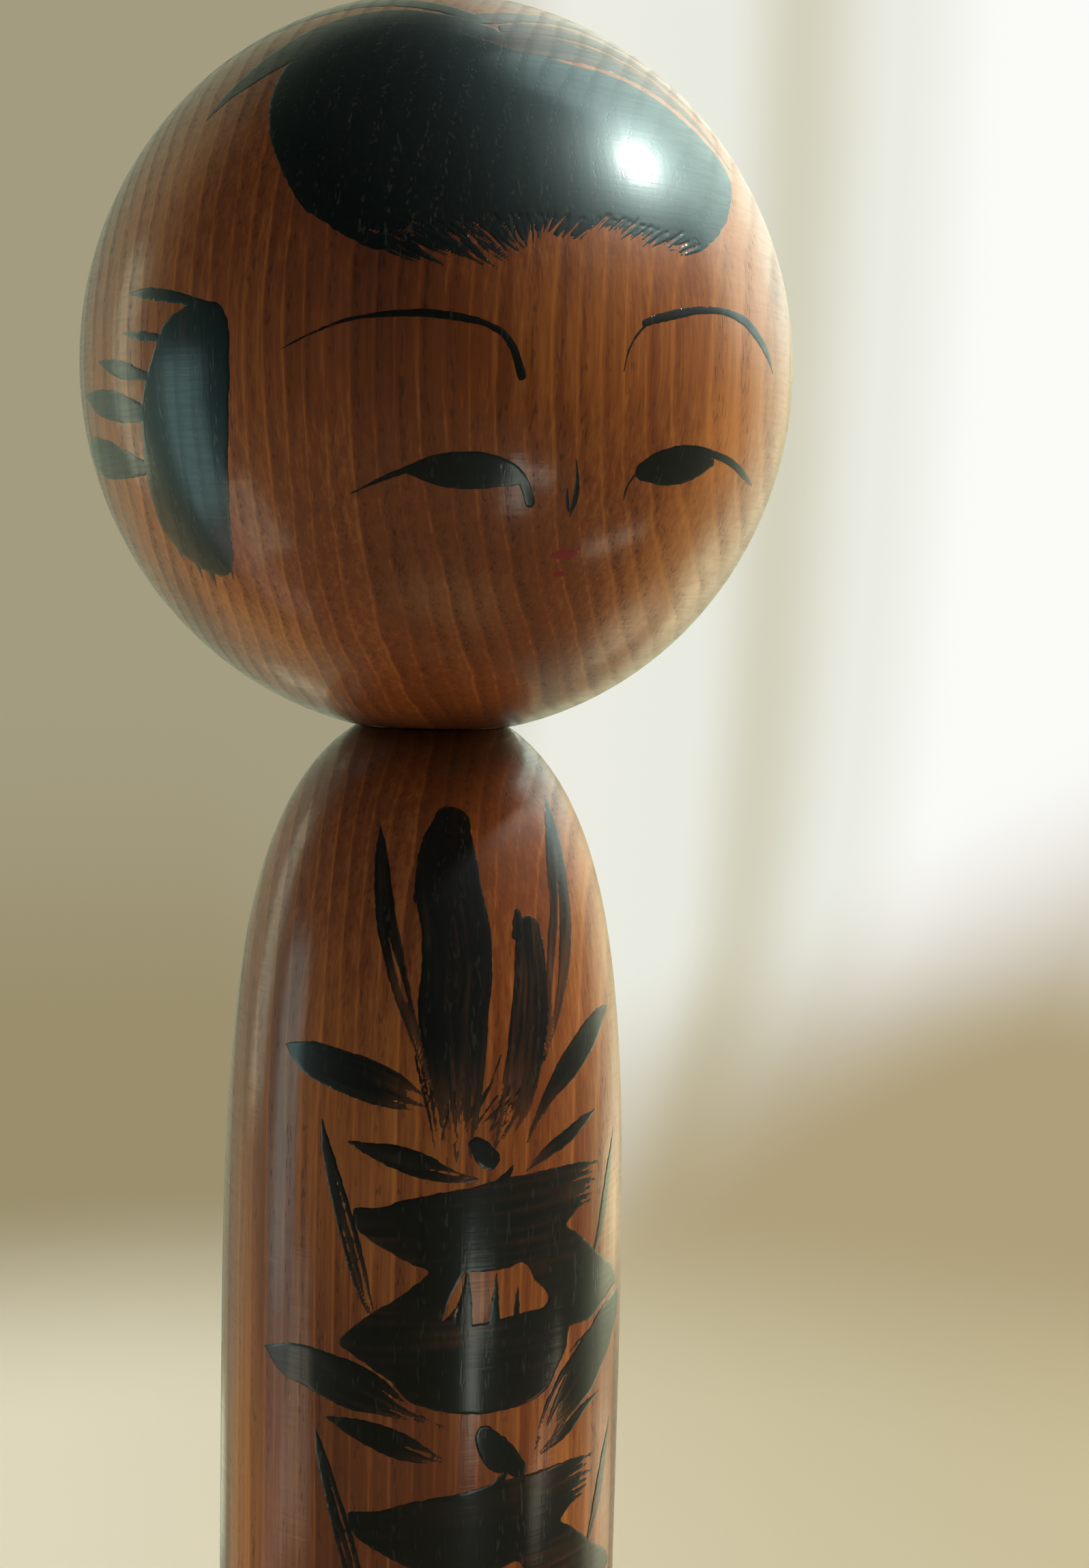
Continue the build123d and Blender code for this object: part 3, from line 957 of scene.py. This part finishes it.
BLADE_GAPS = (
    ((-46.6, 154, 0.1), (-43.8, 150.2, 0.2), (-40.8, 146, 0.25), (-38.4, 142, 0.3), (-36.4, 138, 0.4)),
    ((-44.2, 147.6, 0.1), (-41.9, 144.4, 0.2), (-40.4, 142.2, 0.15)),
)


def lowered(drop):
    """The change that brings a place this many mm lower on the body."""
    return lambda place: (place[0], place[1] - drop, *place[2:])


def flower(number, leaves, leaf_gaps, dot, leaf_drop, band_drop, seed):
    """One flower of the column: two pairs of leaves, the dot, the band with its gap, and blades."""
    leaf, band = lowered(leaf_drop), lowered(band_drop)
    marks = strokes(leaves, leaf, seed, count_up=1, dry=0.5, dryness=0.9)
    marks += strokes(leaf_gaps, leaf, seed + 4, bare=True)
    marks.append(Patch(*map(leaf, dot), seed=seed + 5))
    on_body(f"leaves_{number}", *marks, lift=INK_LIFT * 1.3)

    marks = [Patch(*map(band, BAND), grain=2, streaks=0.18, thin=0.26, wobble=0.1, seed=seed + 6)]
    marks += strokes(BAND_COMB, band, seed + 7, streaks=0.1, wobble=0.15)
    marks.append(Patch(*map(band, BAND_GAP), wobble=0.08, bare=True, seed=seed + 7))
    marks += strokes((*BAND_COMB_GAPS, BAND_WEDGE), band, seed + 8, bare=True)
    marks += strokes(BAND_SPIKES, band, seed + 8)
    on_body(f"band_{number}", *marks)

    marks = strokes(BLADES, band, seed + 9, count_up=1, dry=0.3, dryness=0.6)
    marks += strokes(BLADE_GAPS, band, seed + 11, bare=True)
    on_body(f"blades_{number}", *marks, lift=INK_LIFT * 1.6)


flower(1, LEAVES_1, LEAF_GAPS_1, DOT_1, 0, 0, 110)
flower(2, LEAVES_2, LEAF_GAPS_2, DOT_2, 0, TIER_PITCH, 130)
flower(3, LEAVES_2, LEAF_GAPS_2, DOT_2, TIER_PITCH, 2 * TIER_PITCH, 150)


# ---------------------------------------------------------------- studio

FLOOR_RINGS = (0.01, 0.2, 0.5, 0.9)  # m, radii of the floor's rings, up to where the wall starts to rise
WALL_BEND = 0.9  # m, radius of the bend between the floor and the wall
WALL_TOP = 2.0  # m
BEND_STEPS = 16
GROUND_SIDES = 96
LAMP_LEVEL = 0.24  # m, the height that the lamps face, about the middle of the head

GROUND = srgb(242, 240, 228)
DIM_GROUND = srgb(186, 178, 152)
GROUND_TURN = (-0.2, 0.2)  # m to the camera's right over which the floor turns dim
DIM_WALL = srgb(164, 156, 129)
LOW_WALL_LEFT = srgb(154, 142, 109)
LOW_WALL_RIGHT = srgb(175, 159, 123)
WALL_START = (0.28, 0.5)  # m from the doll over which the painted floor turns into a glowing wall

# Places on the wall are sines of the bearing from straight behind the doll, to the camera's right
WALL_RANGE = (-0.1, 0.35)
LOW_WALL_RANGE = (-0.1, 0.2)
# Over the first of these ranges, from 0 to 1: a dim wall, then two bright curtains
WALL = (
    (0.0, DIM_WALL), (0.2, DIM_WALL), (0.38, srgb(236, 236, 226)), (0.54, srgb(234, 235, 224)),
    (0.63, srgb(212, 209, 188)), (0.74, srgb(235, 236, 226)), (0.86, srgb(251, 251, 248)),
)
CURTAIN_FOOT = 0.12  # the sine at which the curtains reach lowest
CURTAIN_SPREAD = 0.25  # how far from there their lower edge still rises
CURTAIN_RISE = 2.2  # m that it rises per sine
CURTAIN_EDGE = (0.2, 0.95)  # m, way out plus way up over which the low wall turns into the curtains

SUNLIGHT = (1.0, 0.95, 0.84)
PLAIN_LIGHT = (0.11, 0.1, 0.09, 1.0)  # from all round
DARK_CORNER = (0.01, 0.015, 0.015)  # what varnish mirrors where nothing else is
DARK_FLOOR = (0.03, 0.03, 0.015)
MIRRORED_WALL = (0.30, 0.34, 0.23)  # what it mirrors of the wall behind the doll

# What varnish mirrors: longitudes and elevations in degrees, softness and light
WINDOWS = (
    ((80, 128), (8, 72), 9, (1.2, 1.6, 1.5)),
    ((128, 152), (8, 62), 8, (0.9, 1.0, 0.9)),
    ((98, 130), (-30, 8), 8, (0.8, 0.8, 0.55)),
    ((130, 150), (-30, 8), 8, (0.3, 0.3, 0.18)),
    ((-116, -99), (-30, 3), 4, (0.8, 1.25, 1.2)),
    ((-116, -99), (-60, -30), 4, (0.5, 0.4, 0.4)),
    ((-142, -129), (-16, 20), 3, (1.0, 1.1, 0.8)),
    ((-150, -128), (-60, -14), 8, (0.3, 0.1, 0.0)),
)
# The same on the floor: x and y in metres, softness and light
SUNNY_PLACES = (
    ((0.2, 0.32), (-0.01, 0.11), 0.04, (1.0, 0.9, 0.6)),
    ((0.39, 0.65), (0.01, 0.27), 0.05, (0.7, 0.65, 0.35)),
    ((-0.19, -0.07), (0.06, 0.16), 0.05, (0.4, 0.2, 0.05)),
    ((-0.09, 0.05), (-0.14, -0.06), 0.03, (0.5, 0.3, 0.12)),
    ((-0.5, -0.24), (-0.03, 0.06), 0.015, (1.1, 1.0, 0.75)),
    ((-0.06, 0.0), (0.21, 0.31), 0.03, (0.6, 0.6, 0.45)),
    ((0.17, 0.33), (-0.208, -0.172), 0.015, (1.8, 1.6, 1.2)),
    ((0.055, 0.125), (-0.485, -0.395), 0.02, (1.9, 2.1, 1.8)),
    ((0.011, 0.055), (-0.54, -0.3), 0.014, (2.1, 2.3, 2.0)),
)
# Longitude, elevation, then distance, width and height in metres, radiance (1 is white), colour, and
# whether the lamp is a glint, which is only mirrored. The other lamps never are.
# The ground casts no shadow, so front_fill shines up through it, like light from a sunny floor.
LAMPS = {
    "sun_glint": (70.3, 47.7, 0.84, 0.038, 0.038, 1700, SUNLIGHT, True),
    "sun": (80, 41, 0.84, 0.36, 0.36, 22, SUNLIGHT),
    "low_sun": (72, 3, 0.85, 0.6, 0.6, 1.9, (1, 0.98, 0.66)),
    "window": (102, 24, 0.88, 0.7, 1.0, 0.2, (1, 1, 1)),
    "far_window": (-148, -6, 0.8, 0.45, 0.7, 3.0, (1, 0.95, 0.8)),
    "front_fill": (0, -45, 0.85, 0.8, 0.6, 0.6, SUNLIGHT),
}


def boxes_of_light(n, first, second, boxes, dim):
    """The sum of soft-edged boxes of light over two coordinates, on top of a dim light."""

    def between(value, low, high, soft):
        return n.times(n.range(value, low - soft, low + soft), n.range(value, high + soft, high - soft))

    light = dim
    for first_range, second_range, soft, colour in boxes:
        inside = n.times(between(first, *first_range, soft), between(second, *second_range, soft))
        light = n.vector("MULTIPLY_ADD", inside, colour, light)
    return light


def mirrored_room():
    """The light that varnish mirrors from a direction."""
    tree, n = new_group("mirrored_room", {"Color": "Color"}, {"Direction": "Vector"})
    way = n.vector("NORMALIZE", n.add("NodeGroupInput").outputs["Direction"])
    x, y, z = n.add("ShaderNodeSeparateXYZ", {"Vector": way}).outputs
    longitude = n.math("DEGREES", n.math("ARCTAN2", x, n.times(y, -1.0)))
    elevation = n.math("DEGREES", n.math("ARCSINE", z))
    behind = n.vector("DOT_PRODUCT", way, tuple(direction(CAMERA_AZIMUTH + 180, 0)))
    wall = n.times(n.range(behind, 0.0, 0.5), n.range(elevation, 62.0, 35.0))
    dim = n.vector("MULTIPLY_ADD", wall, MIRRORED_WALL, DARK_CORNER)
    n.add("NodeGroupOutput", {"Color": boxes_of_light(n, longitude, elevation, WINDOWS, dim)})
    return tree


def ground_material(room):
    """Pale paint on the floor near the doll, and a wall that glows evenly for the camera further out.

    Glossy rays see neither of them, but the mirrored room and the sunny places on its floor.
    """
    material, n, shader = new_material("pale_ground")
    material.cycles.emission_sampling = "NONE"
    place = n.add("ShaderNodeTexCoord").outputs["Object"]
    x, y, height = n.add("ShaderNodeSeparateXYZ", {"Vector": place}).outputs
    rays = n.add("ShaderNodeLightPath").outputs
    aside = n.vector("DOT_PRODUCT", place, tuple(direction(CAMERA_AZIMUTH + 90, 0)))
    floor = n.mix(n.range(aside, *GROUND_TURN), GROUND, DIM_GROUND)
    n.feed(shader, {"Base Color": floor, "Roughness": 0.8})

    away = n.vector("LENGTH", n.vector("MULTIPLY", place, (1, 1, 0)))
    bearing = n.math("DIVIDE", aside, away)
    upper = n.ramp(n.range(bearing, *WALL_RANGE, kind="LINEAR"), WALL, "EASE")
    lower = n.mix(n.range(bearing, *LOW_WALL_RANGE), LOW_WALL_LEFT, LOW_WALL_RIGHT)
    beside = n.math("ABSOLUTE", n.math("SUBTRACT", bearing, CURTAIN_FOOT))
    beside = n.math("MINIMUM", beside, CURTAIN_SPREAD)
    above = n.range(n.total(n.math("ADD", away, height), (beside, -CURTAIN_RISE)), *CURTAIN_EDGE)
    wall = n.add("ShaderNodeEmission", {"Color": n.mix(above, lower, upper)})
    on_wall = n.times(n.range(away, *WALL_START), rays["Is Camera Ray"])
    seen = n.add("ShaderNodeMixShader", {0: on_wall, 1: shader.outputs[0], 2: wall.outputs[0]})

    from_head = n.vector("SUBTRACT", place, (0, 0, LAMP_LEVEL))
    mirrored = n.add("ShaderNodeGroup", {"Direction": from_head}, node_tree=room).outputs["Color"]
    sunny = boxes_of_light(n, x, y, SUNNY_PLACES, DARK_FLOOR)
    on_floor = n.range(height, 0.02, 0.0)
    glossy = n.add("ShaderNodeEmission", {"Color": n.vector("MULTIPLY_ADD", on_floor, sunny, mirrored)})
    either = {0: rays["Is Glossy Ray"], 1: seen.outputs[0], 2: glossy.outputs[0]}
    finish_surface(n, n.add("ShaderNodeMixShader", either))
    return material


def add_ground(room):
    """A round floor whose edge bends up into a wall, so that every view has a pale ground."""
    outline = [(radius, 0.0) for radius in FLOOR_RINGS]
    for step in range(1, BEND_STEPS + 1):
        angle = pi / 2 * step / BEND_STEPS
        outline.append((FLOOR_RINGS[-1] + WALL_BEND * sin(angle), WALL_BEND * (1 - cos(angle))))
    outline.append((FLOOR_RINGS[-1] + WALL_BEND, WALL_TOP))
    angles = [2 * pi * side / GROUND_SIDES for side in range(GROUND_SIDES)]
    places = [(radius * cos(a), radius * sin(a), height) for radius, height in outline for a in angles]
    faces = [tuple(range(GROUND_SIDES))]
    for ring in range(len(outline) - 1):
        low, high = ring * GROUND_SIDES, (ring + 1) * GROUND_SIDES
        for side in range(GROUND_SIDES):
            beside = (side + 1) % GROUND_SIDES
            faces.append((low + side, high + side, high + beside, low + beside))
    ground = add_mesh("ground", places, faces, ground_material(room))
    ground.visible_shadow = False


def add_lamp(name, longitude, elevation, distance, width, height, radiance, colour, glint=False):
    """An area lamp that faces the head."""
    data = bpy.data.lights.new(name, "AREA")
    data.shape = "RECTANGLE"
    data.size, data.size_y = width, height
    data.energy = radiance * pi * width * height
    data.color = colour
    lamp = add_object(name, data)
    away = Vector(direction(longitude, elevation))
    lamp.location = Vector((0, 0, LAMP_LEVEL)) + away * distance
    lamp.rotation_mode = "QUATERNION"
    lamp.rotation_quaternion = away.to_track_quat("Z", "Y")
    lamp.visible_camera = False
    lamp.visible_glossy = glint
    lamp.visible_diffuse = not glint


def light_world(room):
    """Light from all round: dim for the wood, a dim wall for the camera, and the room for varnish."""
    world = bpy.data.worlds.new("soft_light")
    bpy.context.scene.world = world
    n = cleared(world)
    way = n.add("ShaderNodeTexCoord").outputs["Generated"]
    rays = n.add("ShaderNodeLightPath").outputs
    mirrored = n.add("ShaderNodeGroup", {"Direction": way}, node_tree=room).outputs["Color"]
    plain = n.mix(rays["Is Camera Ray"], PLAIN_LIGHT, DIM_WALL)
    light = n.add("ShaderNodeBackground", {"Color": n.mix(rays["Is Glossy Ray"], plain, mirrored)})
    n.add("ShaderNodeOutputWorld", {"Surface": light.outputs[0]})


room = mirrored_room()
add_ground(room)
light_world(room)
for lamp_name, values in LAMPS.items():
    add_lamp(lamp_name, *values)

bpy.context.scene.view_settings.view_transform = "Standard"
